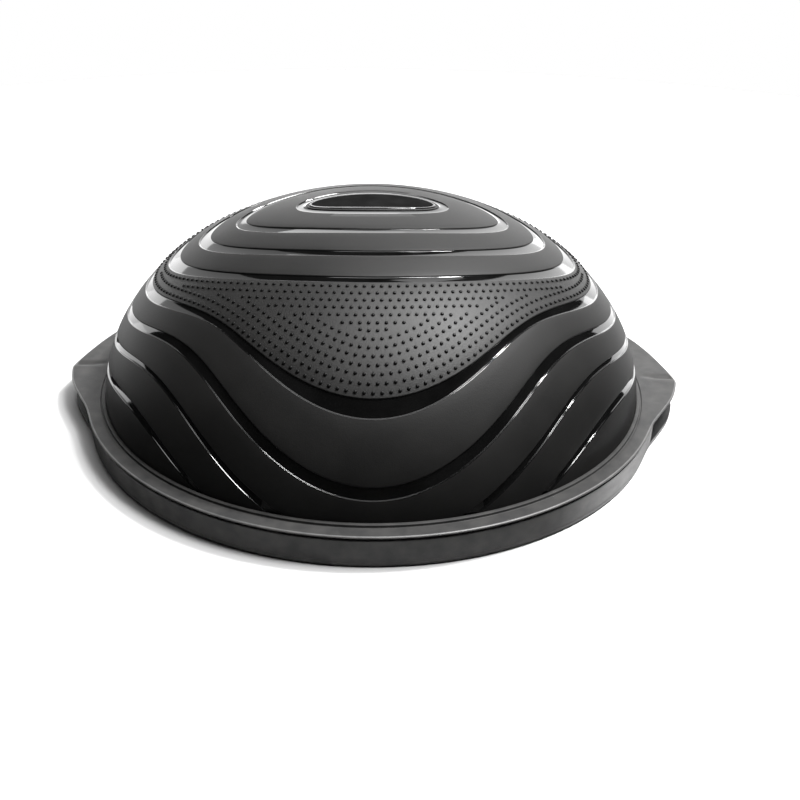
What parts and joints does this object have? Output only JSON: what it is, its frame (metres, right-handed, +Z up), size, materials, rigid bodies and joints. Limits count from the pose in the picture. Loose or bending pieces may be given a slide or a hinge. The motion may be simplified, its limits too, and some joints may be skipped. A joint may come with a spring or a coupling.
{
  "type": "balance dome trainer",
  "caption": "Inflated half-dome balance trainer clamped on a round rigid platform with a moulded hand grip at each side.",
  "frame": {"origin": "centre of the footprint, on the floor", "axes": "+Z up, X through the two hand grips, -Y the front"},
  "size_m": [0.63, 0.576, 0.22],
  "materials": {
    "platform_moulding": "satin moulded polypropylene, dark grey",
    "ring_moulding": "satin moulded polypropylene, dark grey with a fine grain",
    "dome_pvc": "matte raised panels with glossy sunk grooves",
    "badge_gloss": "gloss black, blank",
    "soft_rubber": "matte",
    "zinc_steel": "zinc plated"
  },
  "bodies": {
    "base": {"base_platform": "platform_moulding", "clamp_ring": "ring_moulding", "dome_shell": "dome_pvc", "bladder_floor": "dome_pvc", "valve_body": "soft_rubber", "ring_screw_1": "zinc_steel", "ring_screw_2": "zinc_steel", "ring_screw_3": "zinc_steel", "ring_screw_4": "zinc_steel", "ring_screw_5": "zinc_steel", "ring_screw_6": "zinc_steel", "ring_screw_7": "zinc_steel", "ring_screw_8": "zinc_steel", "ring_screw_9": "zinc_steel", "ring_screw_10": "zinc_steel", "ring_screw_11": "zinc_steel", "ring_screw_12": "zinc_steel", "foot_pad_1": "soft_rubber", "foot_pad_2": "soft_rubber", "foot_pad_3": "soft_rubber", "foot_pad_4": "soft_rubber", "foot_pad_5": "soft_rubber", "foot_pad_6": "soft_rubber", "foot_pad_7": "soft_rubber", "foot_pad_8": "soft_rubber"},
    "crown": {"crown_badge": "badge_gloss"},
    "plug": {"air_plug": "soft_rubber"}
  },
  "joints": [
    {"name": "dome_press", "type": "slide", "parent": "base", "child": "crown", "axis": [0, 0, -1], "range_m": [0, 0.06], "stiffness_N_per_m": 12000, "deforming": ["dome_shell"]},
    {"name": "air_plug_pull", "type": "slide", "parent": "base", "child": "plug", "axis": [0, 0, -1], "range_m": [0, 0.022]}
  ]
}
